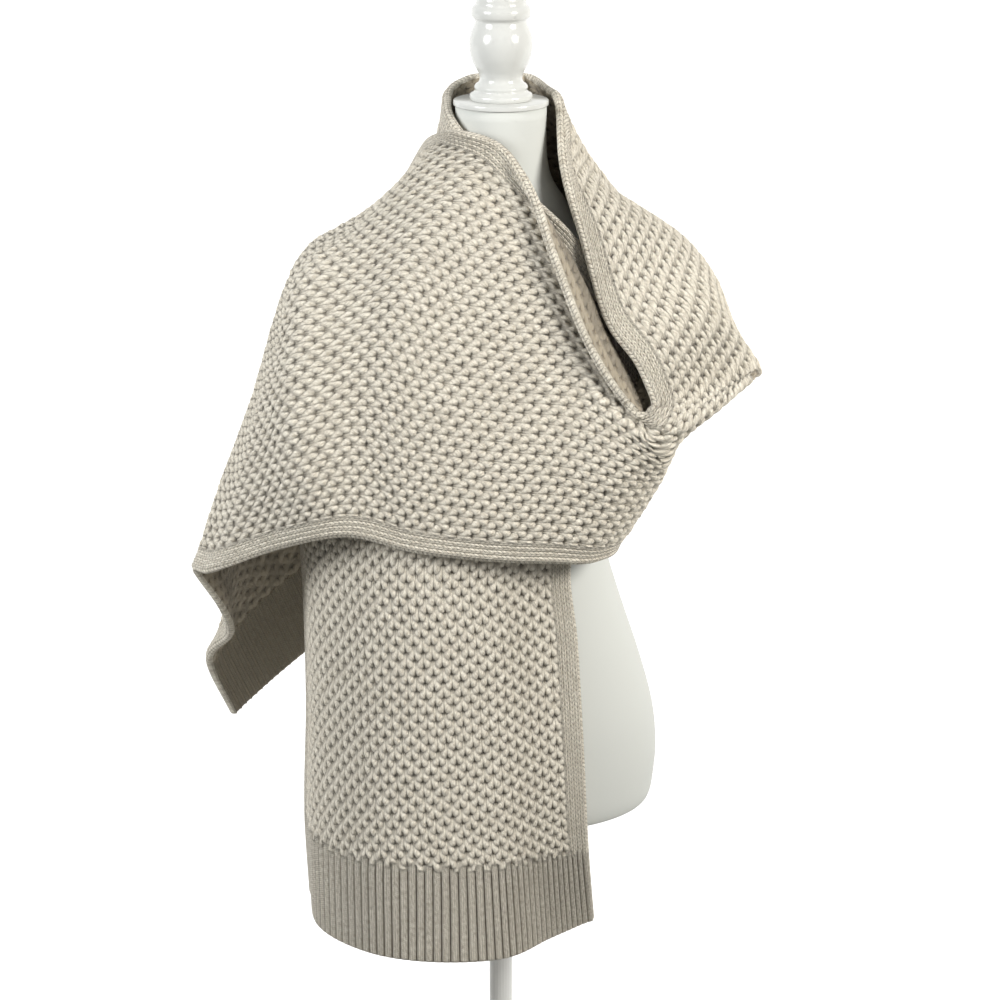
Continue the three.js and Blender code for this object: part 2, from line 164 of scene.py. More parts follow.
# The buds once more, finer than the mesh shows them: the higher of a column and the one beside it.
def budsInWool(tree, millimetres):
    places = addNode(tree, "SeparateXYZ", [millimetres])
    columnPlace = addNode(tree, "Math", (places.outputs[0], bud["columns"]), operation="DIVIDE")
    column = addNode(tree, "Math", [columnPlace], operation="ROUND")
    offMiddle = addNode(tree, "Math", (columnPlace, column), operation="SUBTRACT")
    share = addNode(tree, "Math", [offMiddle], operation="ABSOLUTE")
    aside = addNode(tree, "Math", (share, bud["columns"]), operation="MULTIPLY")
    fromNext = addNode(tree, "Math", (bud["columns"], aside), operation="SUBTRACT")
    odd = addNode(tree, "Math", (column, 2), operation="FLOORED_MODULO")
    rowPlace = addNode(tree, "Math", (places.outputs[1], bud["rows"]), operation="DIVIDE")
    staggered = addNode(tree, "Math", (odd, -0.5, rowPlace), operation="MULTIPLY_ADD")
    ownRow = addNode(tree, "Math", [staggered], operation="FRACT")
    halfOn = addNode(tree, "Math", (ownRow, 0.5), operation="ADD")
    besideRow = addNode(tree, "Math", [halfOn], operation="FRACT")
    own = budHeight(tree, aside, ownRow)
    beside = budHeight(tree, fromNext, besideRow)
    return addNode(tree, "Math", (own, beside), operation="MAXIMUM")


# Plain knit stitches of the borders and ribs: legs of a V that rise outwards from its middle.
def stitchesInWool(tree):
    places = addNode(tree, "SeparateXYZ", [addNode(tree, "UVMap", uv_map="stitch")])
    fromMiddle = places.outputs[0]
    for operation, *others in (("FRACT",), ("SUBTRACT", 0.5), ("ABSOLUTE",), ("MULTIPLY", 2)):
        fromMiddle = addNode(tree, "Math", (fromMiddle, *others), operation=operation)
    leg = roundOff(tree, addNode(tree, "Math", (fromMiddle, 2, -1), operation="MULTIPLY_ADD"))
    sloped = (fromMiddle, -wool["legSlope"], places.outputs[1])
    fromRow = addNode(tree, "Math", sloped, operation="MULTIPLY_ADD")
    for operation, *others in (("FRACT",), ("MULTIPLY_ADD", 2, -1), ("ABSOLUTE",), ("POWER", 4)):
        fromRow = addNode(tree, "Math", (fromRow, *others), operation=operation)
    crown = addNode(tree, "Math", (1, fromRow), operation="SUBTRACT")
    return addNode(tree, "Math", (leg, crown), operation="MULTIPLY")


# Streaks of fibres that lean with the stitches, loose fuzz, and the two plies of the yarn.
def fibresInWool(tree, millimetres):
    twist = addNode(tree, "Attribute", attribute_name="twist").outputs["Fac"]
    lean = addNode(tree, "Math", (twist, wool["fibreLean"]), operation="MULTIPLY")
    turned = addNode(tree, "VectorRotate", {"Vector": millimetres, "Angle": lean}, rotation_type="Z_AXIS")
    narrow = (1 / wool["fibreWidth"], 1 / wool["fibreLength"], 1)
    drawnOut = addNode(tree, "VectorMath", (turned, narrow), operation="MULTIPLY")
    streaks = addNode(tree, "TexNoise", {"Vector": drawnOut, "Scale": 1.0, "Detail": 3, "Roughness": 0.65})
    loose = {"Vector": millimetres, "Scale": wool["fuzzPerMm"], "Detail": 3, "Roughness": 0.7}
    fuzz = addNode(tree, "TexNoise", loose)
    ply = addNode(
        tree,
        "TexWave",
        {"Vector": turned, "Scale": 1 / (wool["plyPitch"] * wool["waves"]), "Distortion": 1.2, "Detail": 1},
        wave_type="BANDS",
        bands_direction="DIAGONAL",
    ).outputs["Fac"]
    return streaks, fuzz, ply


def woolMaterial(name, pale):
    material, tree, shader = newMaterial(name)
    uv = addNode(tree, "UVMap", uv_map="knit")
    millimetres = addNode(tree, "VectorMath", (uv, (1000, 1000, 1000)), operation="MULTIPLY")
    lift = addNode(tree, "Attribute", attribute_name="lift").outputs["Fac"]
    plain = addNode(tree, "Attribute", attribute_name="plain").outputs["Fac"]
    patterned = addNode(tree, "Math", (1, plain), operation="SUBTRACT")
    streaks, fuzz, ply = fibresInWool(tree, millimetres)
    patches = addNode(tree, "TexNoise", {"Vector": millimetres, "Scale": wool["patchPerMm"], "Detail": 2})
    buds = budsInWool(tree, millimetres)
    stitches = stitchesInWool(tree)

    # Heathered all over, with painted shade in every hollow.
    paintedShadeShare = addNode(tree, "MapRange", (lift, *wool["paintedShadeFromDepth"]))
    hollows = ((patterned, buds, "paintedShadeBetweenBuds"), (plain, stitches, "paintedShadeBetweenStitches"))
    for where, height, ramp in hollows:
        low = addNode(tree, "MapRange", (height, *wool[ramp]))
        groove = addNode(tree, "Math", (where, low), operation="MULTIPLY")
        paintedShadeShare = addNode(tree, "Math", (paintedShadeShare, groove), operation="MAXIMUM")
    darkFibres = addNode(tree, "MapRange", (streaks, *wool["darkFibres"]))
    darkPatches = addNode(tree, "MapRange", (patches, *wool["darkPatches"]))
    shade = colour(pale)
    for share, darker in ((darkFibres, "fibre"), (darkPatches, "fibre"), (paintedShadeShare, "paintedShadeInHollows")):
        mix = addNode(tree, "Mix", {0: share, 6: shade, 7: colour(wool[darker])}, data_type="RGBA")
        shade = mix.outputs[2]

    fine = 0.0
    for source, share in ((streaks, 0.7), (fuzz, 0.4), (ply, 0.18)):
        fine = addNode(tree, "Math", (source, share, fine), operation="MULTIPLY_ADD")
    fineBump = addNode(tree, "Bump", {"Height": fine, "Strength": 0.9, "Distance": wool["fibreDepth"]})
    plainStitches = addNode(tree, "Math", (plain, stitches), operation="MULTIPLY")
    plainHeight = addNode(tree, "Math", (plainStitches, wool["stitchRise"]), operation="MULTIPLY")
    knitHeight = addNode(tree, "Math", (patterned, buds, plainHeight), operation="MULTIPLY_ADD")
    coarse = {"Height": knitHeight, "Strength": 1.0, "Distance": wool["stitchDepth"], "Normal": fineBump}
    knitBump = addNode(tree, "Bump", coarse)
    fillInputs(tree, shader, {
        "Base Color": shade,
        "Normal": knitBump,
        "Roughness": wool["roughness"],
        "IOR": 1.5,
        "Specular IOR Level": 0.2,
        "Sheen Weight": wool["sheen"],
        "Sheen Roughness": 0.5,
    })
    return material


# Stretch jersey, fine knit drawn smooth over the form: off-white and matt.
jersey = {"pale": "#d3d5d0", "shaded": "#c9cac2", "pitch": 0.9, "roughness": 0.8, "depth": 0.0003}


def jerseyMaterial():
    material, tree, shader = newMaterial("offWhiteStretchJersey")
    place = addNode(tree, "TexCoord").outputs["Object"]
    grain = addNode(tree, "TexNoise", {"Vector": place, "Scale": 1000 / jersey["pitch"], "Detail": 2})
    tint = addNode(tree, "MapRange", (grain, 0.3, 0.7, 0.0, 0.08))
    tones = {0: tint, 6: colour(jersey["pale"]), 7: colour(jersey["shaded"])}
    fillInputs(tree, shader, {
        "Base Color": addNode(tree, "Mix", tones, data_type="RGBA").outputs[2],
        "Normal": addNode(tree, "Bump", {"Height": grain, "Strength": 0.25, "Distance": jersey["depth"]}),
        "Roughness": jersey["roughness"],
        "Specular IOR Level": 0.3,
    })
    return material


# Turned wood under white gloss paint: clear soft highlights with hardly any grain left.
gloss = {"pale": "#d2d3cf", "roughness": 0.16}

# Powder coat baked on steel: even, off-white and half matt, with broad highlights.
powder = {"pale": "#e9e9e6", "roughness": 0.42}

paintRipple = {"perMetre": 90.0, "depth": 0.0004}


def paintMaterial(name, paint):
    material, tree, shader = newMaterial(name)
    place = addNode(tree, "TexCoord").outputs["Object"]
    ripple = addNode(tree, "TexNoise", {"Vector": place, "Scale": paintRipple["perMetre"], "Detail": 2})
    bump = addNode(tree, "Bump", {"Height": ripple, "Strength": 0.08, "Distance": paintRipple["depth"]})
    look = {"Base Color": colour(paint["pale"]), "Roughness": paint["roughness"], "IOR": 1.5}
    fillInputs(tree, shader, {"Normal": bump, **look})
    return material


woolRight = woolMaterial("heatheredWoolKnitRightSide", wool["pale"])
# the wrong side is a darker copy of the wool, painted shade for the insides of the folds
woolWrong = woolMaterial("heatheredWoolKnitWrongSide", wool["wrongSideShadedPale"])
jerseyCover = jerseyMaterial()
glossPaint = paintMaterial("whiteGlossPaintOnTurnedWood", gloss)
powderCoat = paintMaterial("whitePowderCoatedSteel", powder)
print("materials made")


# The strip of knitting.

strip = {
    "width": 450.0,  # millimetres across
    "wrapStretch": 1.12,  # the wrap is pulled wider over the chest
    "wall": 5.4,  # thickness of the knit
    "rim": 8.4,  # thickness of the rolled borders
    "rimShare": 0.045,  # share of the width that thickens towards the rim
    "rimAngles": (50, 90, 135),  # degrees round the rim from the right side
    "rimReach": 0.85,
    "join": 0.02,  # gap between neighbouring stretches
    "border": 21.0,  # plain knit along each long edge
    "sunk": 1.6,  # how deep the stitches are rooted in the wall
    "ribs": 50,
    "ribRise": 2.8,
    "ribSunk": 0.42,  # as a share of the rise, as is the ribs' height on the wrong side
    "ribWrong": 0.7,
    "ribFollow": 0.8,  # how far the ribs of the wrong side give way to those of the right side
    "hemFade": 14.0,  # over which the roots of the ribs fade into those of the pattern
    "endRound": 3.0,  # rounding of a free end, and rows of the mesh that draw it
    "endRows": (0.35, 1.0, 2.2),
    "endThin": 0.12,
    "wrongLift": 0.8,  # the wrong side gets no painted shade from its depth
    "rowStep": 1.9,  # spacing of the mesh along the strip, then across it
    "acrossStep": 1.5,
    "borderStep": 1.05,
    "ribSteps": 8,
    "hiddenSteps": 34,
    "wrongSteps": 28,
}

# Sections across the strip in the order of its length, as in the part's source: the middle of the
# knit from the edge that lies at the neck, across five guides, to the free edge.
sections = {
    "hemEnd": [(96, -66, 381), (50, -107, 378), (4, -150, 376), (-70, -157, 375),
     (-138, -136, 376), (-191, -77, 377), (-204, 12, 378)],
    "hemTop": [(89, -98, 470), (45, -120, 471), (-1, -147, 472), (-70, -153, 472),
     (-139, -131, 472), (-192, -77, 472), (-208, 12, 472)],
    "hip": [(82, -110, 600), (39, -124, 602), (-8, -143, 604), (-74, -148, 604),
     (-138, -126, 604), (-189, -74, 604), (-204, 12, 604)],
    "belly": [(75, -105, 712), (33, -119, 716), (-14, -140, 718), (-78, -145, 720),
     (-140, -122, 720), (-190, -72, 720), (-205, 12, 720)],
    "waist": [(68, -101, 795), (27, -120, 800), (-20, -137, 803), (-82, -140, 804),
     (-142, -116, 804), (-191, -68, 804), (-208, 14, 802)],
    "ribCage": [(94, -106, 888), (38, -126, 896), (-12, -135, 902), (-70, -133, 901),
     (-129, -114, 897), (-182, -70, 883), (-204, 16, 842)],
    "bust": [(133, -94, 983), (74, -122, 996), (16, -132, 1002), (-46, -128, 1000),
     (-108, -104, 990), (-168, -62, 964), (-202, 22, 881)],
    "collarbone": [(114, -84, 1062), (38, -98, 1080), (-40, -94, 1084), (-110, -74, 1076),
     (-164, -40, 1056), (-191, 4, 1000), (-199, 32, 904)],
    "throat": [(70, -72, 1126), (4, -75, 1130), (-64, -62, 1120), (-126, -42, 1098),
     (-174, -10, 1068), (-193, 24, 992), (-197, 40, 911)],
    "throatHigh": [(14, -59.2, 1176), (-42, -52, 1148), (-94, -36, 1116), (-144, -18, 1090),
     (-181, 10, 1054), (-194, 36, 982), (-194, 50, 909)],
    "shoulder": [(-43, -34, 1226), (-82, -14, 1150), (-128, 2, 1108), (-168, 16, 1076),
     (-190, 38, 1024), (-191, 52, 955), (-184, 60, 888)],
    "shoulderBlade": [(-54, 20, 1249), (-68, 40, 1178), (-106, 54, 1116), (-150, 60, 1072),
     (-174, 74, 1014), (-174, 82, 940), (-164, 84, 872)],
    "napeLeft": [(-32, 50, 1263), (-40, 62, 1190), (-60, 76, 1124), (-86, 92, 1056),
     (-98, 98, 982), (-96, 96, 908), (-88, 92, 838)],
    "nape": [(0, 61, 1262), (0, 68, 1190), (0, 88, 1120), (0, 104, 1048),
     (0, 110, 975), (0, 106, 901), (0, 101, 828)],
    "napeRight": [(46, 43, 1254), (66, 62, 1198), (104, 78, 1136), (146, 90, 1078),
     (170, 92, 1006), (169, 92, 930), (150, 90, 850)],
    "collarSide": [(57, 4, 1249), (80, 34, 1197), (114, 64, 1144), (154, 84, 1086),
     (176, 90, 1014), (176, 89, 940), (158, 86, 864)],
    "collarRight": [(61, -38, 1198), (80, 8, 1181), (118, 48, 1142), (160, 74, 1100),
     (180, 84, 1030), (180, 84, 956), (163, 83, 878)],
    "lapel": [(82, -82, 1123), (120, -42, 1134), (167, 5, 1117), (200, 48, 1078),
     (212, 70, 1015), (200, 76, 942), (163, 72, 872)],
    "lapelLow": [(103, -116, 1056), (144, -86, 1083), (190, -40, 1089), (219, 8, 1060),
     (227, 44, 1003), (214, 56, 936), (168, 60, 880)],
    "elbow": [(137, -138, 1008), (182, -112, 1032), (224, -70, 1035), (246, -16, 990),
     (224, 26, 936), (184, 42, 898), (148, 46, 858)],
    "crease": [(150, -149, 980), (196, -114, 989), (243, -72, 995), (259, -30, 977),
     (218, 8, 934), (174, 26, 894), (138, 32, 842)],
    "roll": [(147, -153, 969), (181, -153, 961), (216, -130, 971), (252, -84, 985),
     (230, -38, 966), (178, -6, 918), (136, 6, 834)],
    "underRoll": [(140, -156, 965), (162, -160, 946), (176, -144, 938), (174, -106, 922),
     (162, -78, 892), (145, -60, 856), (121, -48, 812)],
    "turn": [(131, -158, 969), (144, -161, 940), (157, -150, 918), (158, -126, 894),
     (147, -112, 866), (131, -104, 836), (113, -92, 804)],
    "waistFront": [(114, -157, 989), (117, -158, 956), (124, -159, 926), (127, -150, 896),
     (122, -139, 865), (110, -132, 834), (95, -122, 805)],
    "chestLow": [(84, -147, 1038), (70, -138, 1006), (60, -150, 962), (54, -156, 924),
     (52, -156, 887), (50, -152, 849), (47, -146, 811)],
    "chest": [(52, -118, 1115), (30, -114, 1084), (8, -132, 1036), (-8, -147, 984),
     (-16, -156, 929), (-20, -157, 872), (-22, -152, 816)],
    "chestHigh": [(28, -86, 1177), (0, -88, 1148), (-30, -107, 1101), (-58, -129, 1042),
     (-76, -146, 973), (-86, -153, 900), (-92, -151, 825)],
    "yoke": [(-1, -64, 1213), (-32, -68, 1188), (-68, -84, 1142), (-104, -108, 1078),
     (-130, -129, 1004), (-148, -141, 921), (-158, -140, 837)],
    "yokeLeft": [(-38, -56, 1226), (-68, -46, 1197), (-111, -60, 1147), (-155, -85, 1078),
     (-187, -106, 1000), (-208, -119, 912), (-222, -118, 817)],
    "capeFront": [(-63, -20, 1216), (-97, -12, 1170), (-150, -28, 1122), (-199, -46, 1066),
     (-227, -70, 982), (-254, -86, 890), (-278, -99, 791)],
    "capeShoulder": [(-75, 20, 1199), (-122, 12, 1128), (-191, 8, 1099), (-225, -5, 1034),
     (-245, -30, 950), (-273, -52, 868), (-300, -82, 779)],
    "capeTip": [(-86, 64, 1168), (-140, 60, 1104), (-205, 52, 1060), (-236, 36, 990),
     (-262, 12, 918), (-290, -18, 846), (-315, -58, 773)],
    "capeBack": [(-86, 104, 1108), (-146, 104, 1062), (-198, 94, 1000), (-238, 78, 932),
     (-268, 54, 862), (-288, 22, 792), (-294, -28, 724)],
    "capeLow": [(-62, 116, 1035), (-116, 124, 980), (-170, 126, 922), (-220, 120, 862),
     (-261, 98, 800), (-290, 56, 742), (-287, 6, 683)],
    "endTop": [(-4, 134, 905), (-52, 144, 850), (-104, 152, 800), (-159, 152, 754),
     (-218, 138, 712), (-276, 104, 670), (-315, 52, 630)],
    "endHem": [(35, 145, 825), (-15, 158, 772), (-70, 168, 724), (-128, 170, 676),
     (-188, 160, 629), (-246, 132, 588), (-293, 86, 558)],
}

# The neck edge of the wrap rolls outwards: where the roll lies across the strip (shares), and how far
# it moves to the right, back and up at each section (mm).
edgeRoll = {"at": 0.07, "spread": 0.052}
rollRows = {
    "turn": (6, 10, 2),
    "waistFront": (24, 26, 4),
    "chestLow": (36, 30, 4),
    "chest": (30, 26, 4),
    "chestHigh": (10, 12, 2),
}

sectionNames = list(sections)
guides = np.array([sections[name] for name in sectionNames], float)
rolls = np.array([rollRows.get(name, (0, 0, 0)) for name in sectionNames], float)
guidePlaces = np.linspace(0, 1, guides.shape[1])
steps = np.linalg.norm(np.diff(guides, axis=0), axis=2).mean(axis=1)
stations = np.concatenate([[0.0], np.cumsum(steps)])


def stationOf(name):
    return stations[sectionNames.index(name)]


# Each row says how the slope at one place depends on the values at all places.
def slopeWeights(places):
    count = len(places)
    rows = np.zeros((count, count))
    for k in range(count):
        low, high = max(k - 1, 0), min(k + 1, count - 1)
        if low == k or high == k:
            rows[k, high] += 1 / (places[high] - places[low])
            rows[k, low] -= 1 / (places[high] - places[low])
            continue
        share = (places[k] - places[low]) / (places[high] - places[low])
        before = (1 - share) / (places[k] - places[low])
        after = share / (places[high] - places[k])
        rows[k, k] += before - after
        rows[k, low] -= before
        rows[k, high] += after
    return rows


# Weights that turn values at the places into a smooth curve's values at other places.
def cubicWeights(places, at):
    index = np.clip(np.searchsorted(places, at, side="left") - 1, 0, len(places) - 2)
    span = places[index + 1] - places[index]
    t = (at - places[index]) / span
    slopes = slopeWeights(places)
    unit = np.eye(len(places))
    return (
        (2 * t**3 - 3 * t**2 + 1)[:, None] * unit[index]
        + ((t**3 - 2 * t**2 + t) * span)[:, None] * slopes[index]
        + (-2 * t**3 + 3 * t**2)[:, None] * unit[index + 1]
        + ((t**3 - t**2) * span)[:, None] * slopes[index + 1]
    )


# Middle of the knit at places along the strip (mm) and across it (0 at the neck edge, 1 at the free one).
def middle(at, across):
    alongWeights = cubicWeights(stations, at)
    acrossWeights = cubicWeights(guidePlaces, across)
    points = np.einsum("ns,sgx,mg->nmx", alongWeights, guides, acrossWeights, optimize=True)
    off = (across - edgeRoll["at"]) / edgeRoll["spread"]
    floor = math.exp(-((edgeRoll["at"] / edgeRoll["spread"]) ** 2))
    bump = np.maximum(np.exp(-off * off) - floor, 0)
    return points + (alongWeights @ rolls)[:, None, :] * bump[None, :, None]


def unitRows(vectors):
    return vectors / np.linalg.norm(vectors, axis=-1, keepdims=True)


# Directions square to the knit, from small steps to both sides.
def outward(at, across, reach=1.5, share=0.004):
    after, before = np.minimum(at + reach, stations[-1]), np.maximum(at - reach, 0)
    alongStep = middle(after, across) - middle(before, across)
    acrossStep = middle(at, np.minimum(across + share, 1)) - middle(at, np.maximum(across - share, 0))
    return unitRows(np.cross(alongStep, acrossStep))


def smoothStep(value, low, high):
    t = np.clip((value - low) / (high - low), 0, 1)
    return t * t * (3 - 2 * t)


# Places in the knit (mm): from one long edge across the columns of stitches, and along them. The front
# end, the back, the collar and the fold count from the neck edge. The wrap, the cape and the back end
# count from the free edge, because their neck edge is drawn in and cuts across the columns.
patternAt = np.linspace(0, stations[-1], 420)
patternAcross = np.linspace(0, 1, 31)


# Distance from the first edge, length along the columns, the edge's own length, and the columns' way.
def patternField(points):
    acrossSteps = np.diff(points, axis=1)
    zero = np.zeros((len(points), 1))
    distance = np.hstack([zero, np.cumsum(np.linalg.norm(acrossSteps, axis=2), axis=1)])
    alongWay = np.gradient(points, patternAt, axis=0)
    acrossWay = np.gradient(points, axis=1)
    drift = np.gradient(distance, patternAt, axis=0) / np.linalg.norm(acrossWay, axis=2)
    column = unitRows(alongWay - acrossWay * drift[..., None])
    lean = ((column[:, :-1] + column[:, 1:]) / 2 * acrossSteps).sum(axis=2)
    edgeSteps = np.linalg.norm(np.diff(points[:, 0], axis=0), axis=1)
    edgeLength = np.concatenate([[0.0], np.cumsum(edgeSteps)])
    length = edgeLength[:, None] + np.hstack([zero, np.cumsum(lean, axis=1)])
    return distance, length, edgeLength, column


# The rows of stitches spaced as evenly as the form lets them: least squares by conjugate gradients.
def evenAlong(points, column, guess, rounds=700):
    stepAlong, stepAcross = np.diff(points, axis=0), np.diff(points, axis=1)
    wantAlong = ((column[1:] + column[:-1]) / 2 * stepAlong).sum(axis=2)
    wantAcross = ((column[:, 1:] + column[:, :-1]) / 2 * stepAcross).sum(axis=2)
    ratio = np.linalg.norm(stepAcross, axis=2).mean() / np.linalg.norm(stepAlong, axis=2).mean()

    def gathered(along, across):
        total = np.zeros(guess.shape)
        total[1:] += along * ratio
        total[:-1] -= along * ratio
        total[:, 1:] += across / ratio
        total[:, :-1] -= across / ratio
        return total

    value = guess.copy()
    rest = gathered(wantAlong - np.diff(value, axis=0), wantAcross - np.diff(value, axis=1))
    way, size = rest.copy(), (rest * rest).sum()
    for _ in range(rounds):
        pull = gathered(np.diff(way, axis=0), np.diff(way, axis=1))
        step = size / (way * pull).sum()
        value += step * way
        rest -= step * pull
        newSize = (rest * rest).sum()
        way = rest + newSize / size * way
        size = newSize
    return value


patternPoints = middle(patternAt, patternAcross)
fromNeck, neckAlong, neckLength, neckColumn = patternField(patternPoints)
fromFree, freeAlong, freeLength, freeColumn = (
    part[:, ::-1] if part.ndim > 1 else part for part in patternField(patternPoints[:, ::-1])
)
turnRow = int(np.searchsorted(patternAt, stationOf("turn")))
early, late = slice(0, turnRow + 1), slice(turnRow - 1, None)
neckAlong[early] = evenAlong(patternPoints[early], neckColumn[early], neckAlong[early])
freeAlong[late] = evenAlong(patternPoints[late], freeColumn[late], freeAlong[late])


# A field of the pattern at places along and across the strip.
def sampled(field, at, across):
    byRow = np.stack([np.interp(at, patternAt, field[:, j]) for j in range(field.shape[1])], axis=1)
    return byRow @ cubicWeights(patternAcross, across).T


# Each bud stands and rises a little differently, so that the knit looks hand-made.
rng = np.random.default_rng(11)
budShare = rng.uniform(-1, 1, (64, 256, 3))


# Height of the buds (mm) at places in the knit, and the side to which each lobe leans.
def budRelief(u, v):
    height = np.zeros(v.shape)
    twist = np.zeros(v.shape)
    nearest = np.round(u / bud["columns"]).astype(int)
    for column in (-1, 0, 1):
        i = nearest + column
        along = v - (i % 2) * bud["rows"] / 2
        j = np.floor(along / bud["rows"]).astype(int)
        odd = budShare[i % len(budShare), j % budShare.shape[1]]
        x = u - i * bud["columns"] - odd[..., 0] * bud["place"]
        y = along - j * bud["rows"]
        edge = np.interp(y, bud["along"], bud["edge"])
        inner = np.interp(y, bud["along"], bud["inner"])
        melt = np.interp(y, bud["along"], bud["melt"])
        rise = np.interp(y, bud["along"], bud["rise"]) * (1 + odd[..., 2] * bud["uneven"])
        share = (np.abs(x) - inner) / (edge - inner)
        two = np.sqrt(np.clip(1 - (2 * share - 1) ** 2, 0, 1))
        lobe = rise * (two + melt * (np.sqrt(np.clip(1 - (x / edge) ** 2, 0, 1)) - two))
        higher = lobe > height
        height = np.where(higher, lobe, height)
        twist = np.where(higher, np.sign(x), twist)
    return height, twist


# The borders are four plain courses, each a low round ridge on a thin base.
plainKnit = {
    "pitch": 5.25,
    "row": 4.6,
    "rise": 1.9,
    "base": 0.9,
    "fade": (1.8, 0.3),  # where the border ends, before the edge of the pattern
    "rimStep": 0.3,  # share of a course between two lines of points round the rim
}

# Every second rib runs on further into the pattern before it melts into the buds.
ribKnit = {
    "row": 2.3,
    "uneven": (2.0, 8.0),
    "melt": 4.0,
    # a rib gets painted shade below this height, fading out over the next span
    "deepTo": 1.8,
    "shallow": 1.1,
    "groove": 0.45,  # depth and half width (as a share) of the line down a rib's middle
    "grooveHalf": 0.09,
}


def ribRelief(across):
    share = np.mod(across * strip["ribs"], 1)
    rib = np.sqrt(np.clip(1 - np.abs(2 * share - 1) ** 3, 0, 1))
    groove = np.exp(-(((share - 0.5) / ribKnit["grooveHalf"]) ** 2))
    return strip["ribRise"] * rib - ribKnit["groove"] * groove


# Height of the stitches (mm), the lean of their fibres, how plain the knit is there, the place within
# plain stitches, and how far a point lies out of the hollows, which sets its painted shade.
def relief(across, knit, toHem, ribbed, fineness):
    u, v, nearEdge, edgeAlong = knit["u"], knit["v"], knit["nearEdge"], knit["edgeAlong"]
    ribHeight = np.repeat(ribRelief(across)[None, :], v.shape[0], axis=0)
    ribX = np.repeat(across[None, :] * strip["ribs"] * 2, v.shape[0], axis=0)
    # how far a rib stands out of its grooves, which sets its painted shade
    ribLift = np.clip((ribHeight - ribKnit["deepTo"]) / ribKnit["shallow"], 0, 1)
    if ribbed:
        ones = np.ones_like(v)
        return ribHeight, ones * 0, ones, ribX, edgeAlong / ribKnit["row"], ribLift
    height, twist = budRelief(u, v)
    share = np.mod(nearEdge / plainKnit["pitch"], 1)
    fromMiddle = np.abs(share - 0.5) * 2
    course = np.sqrt(np.clip(1 - fromMiddle**2, 0, 1))
    column = plainKnit["base"] + plainKnit["rise"] * course
    plain = 1 - smoothStep(nearEdge, *(strip["border"] - fade for fade in plainKnit["fade"]))
    # painted shade: darker low on the buds and between the plain courses
    lift = np.clip(height / bud["deepTo"], 0, 1) * (1 - plain) + (0.5 + 0.5 * course) * plain
    height = height * (1 - plain) + column * plain
    height = height * fineness + bud["hidden"] * (1 - fineness)
    twist = twist * (1 - plain)
    stitchX, stitchY = nearEdge / plainKnit["pitch"], edgeAlong / plainKnit["row"]
    if toHem is not None:
        oddRib = np.mod(np.floor(across * strip["ribs"]), 2)[None, :]
        short, long = ribKnit["uneven"]
        start = short + (long - short) * oddRib
        inRib = 1 - smoothStep(toHem, start, start + ribKnit["melt"])
        height = height * (1 - inRib) + ribHeight * inRib
        lift = lift * (1 - inRib) + ribLift * inRib
        plain = np.maximum(plain, inRib)
        twist = twist * (1 - inRib)
        ribby = inRib > 0.5
        stitchX = np.where(ribby, ribX, stitchX)
        stitchY = np.where(ribby, edgeAlong / ribKnit["row"], stitchY)
    return height, twist, plain, stitchX, stitchY, lift


# Soft creases placed on the strip: from and to (a section, millimetres past it, and the share
# across), height and half width (mm). A crease with a height below 0 is a hollow.
creases = [
    {"from": ("capeFront", 0, 0.4), "to": ("yokeLeft", -35, 0.99), "rise": 14.0, "half": 27.0},
    {"from": ("yokeLeft", 0, 0.3), "to": ("yoke", -35, 0.99), "rise": -4.0, "half": 24.0},
    {"from": ("chest", -20, 0.15), "to": ("yoke", 0, 0.15), "rise": -6.0, "half": 15.0},
]


def creaseRelief(at, across):
    total = np.zeros((len(at), len(across)))
    u = across[None, :] * strip["width"]
    s = at[:, None]
    for crease in creases:
        start, end = (
            np.array([stationOf(section) + past, share * strip["width"]])
            for section, past, share in (crease["from"], crease["to"])
        )
        way = end - start
        length = np.hypot(*way)
        way = way / length
        lengthwise = (s - start[0]) * way[0] + (u - start[1]) * way[1]
        sideways = (s - start[0]) * way[1] - (u - start[1]) * way[0]
        fade = smoothStep(lengthwise, -0.15 * length, 0.2 * length)
        fade = fade * (1 - smoothStep(lengthwise, 0.8 * length, 1.15 * length))
        total += crease["rise"] * fade * np.exp(-((sideways / crease["half"]) ** 2))
    return total


# Half the thickness of the wall (mm), swelling to the rolled borders.
def halfWall(across):
    fromEdge = np.minimum(across, 1 - across) / strip["rimShare"]
    swell = np.maximum(0, 1 - fromEdge)
    return (strip["wall"] + (strip["rim"] - strip["wall"]) * swell**2 * (3 - 2 * swell)) / 2


# Places across a stretch: closest together on the borders, and few where another layer hides it.
def placesAcross(stretch):
    width = strip["width"]
    if stretch.get("ribbed"):
        return np.linspace(0, 1, strip["ribs"] * strip["ribSteps"] + 1)
    border = np.arange(0, strip["border"], strip["borderStep"]) / width
    inner = np.arange(strip["border"], width - strip["border"] + 0.01, strip["acrossStep"]) / width
    inner = inner + (0.5 - inner.mean())
    if "fineTo" in stretch:
        fine = inner[inner < stretch["fineTo"]]
        rough = np.linspace(stretch["fineTo"] + 0.01, 1, strip["hiddenSteps"])
        return np.concatenate([border, fine, rough])
    return np.concatenate([border, inner, (1 - border)[::-1]])


# Places along a stretch: even rows, and a few more where a free end rounds off.
def placesAlong(stretch, first, last):
    coarse = middle(np.linspace(first, last, 60), np.linspace(0, 1, 15))
    longest = np.linalg.norm(np.diff(coarse, axis=0), axis=2).sum(axis=0).max()
    step = strip["rowStep"] * stretch.get("sparser", 1)
    at = np.linspace(first, last, int(math.ceil(longest / step)) + 1)
    extra = np.array(strip["endRows"])
    if stretch.get("freeEnd") == "start":
        at = np.sort(np.concatenate([at, first + extra]))
    if stretch.get("freeEnd") == "end":
        at = np.sort(np.concatenate([at, last - extra]))
    return at


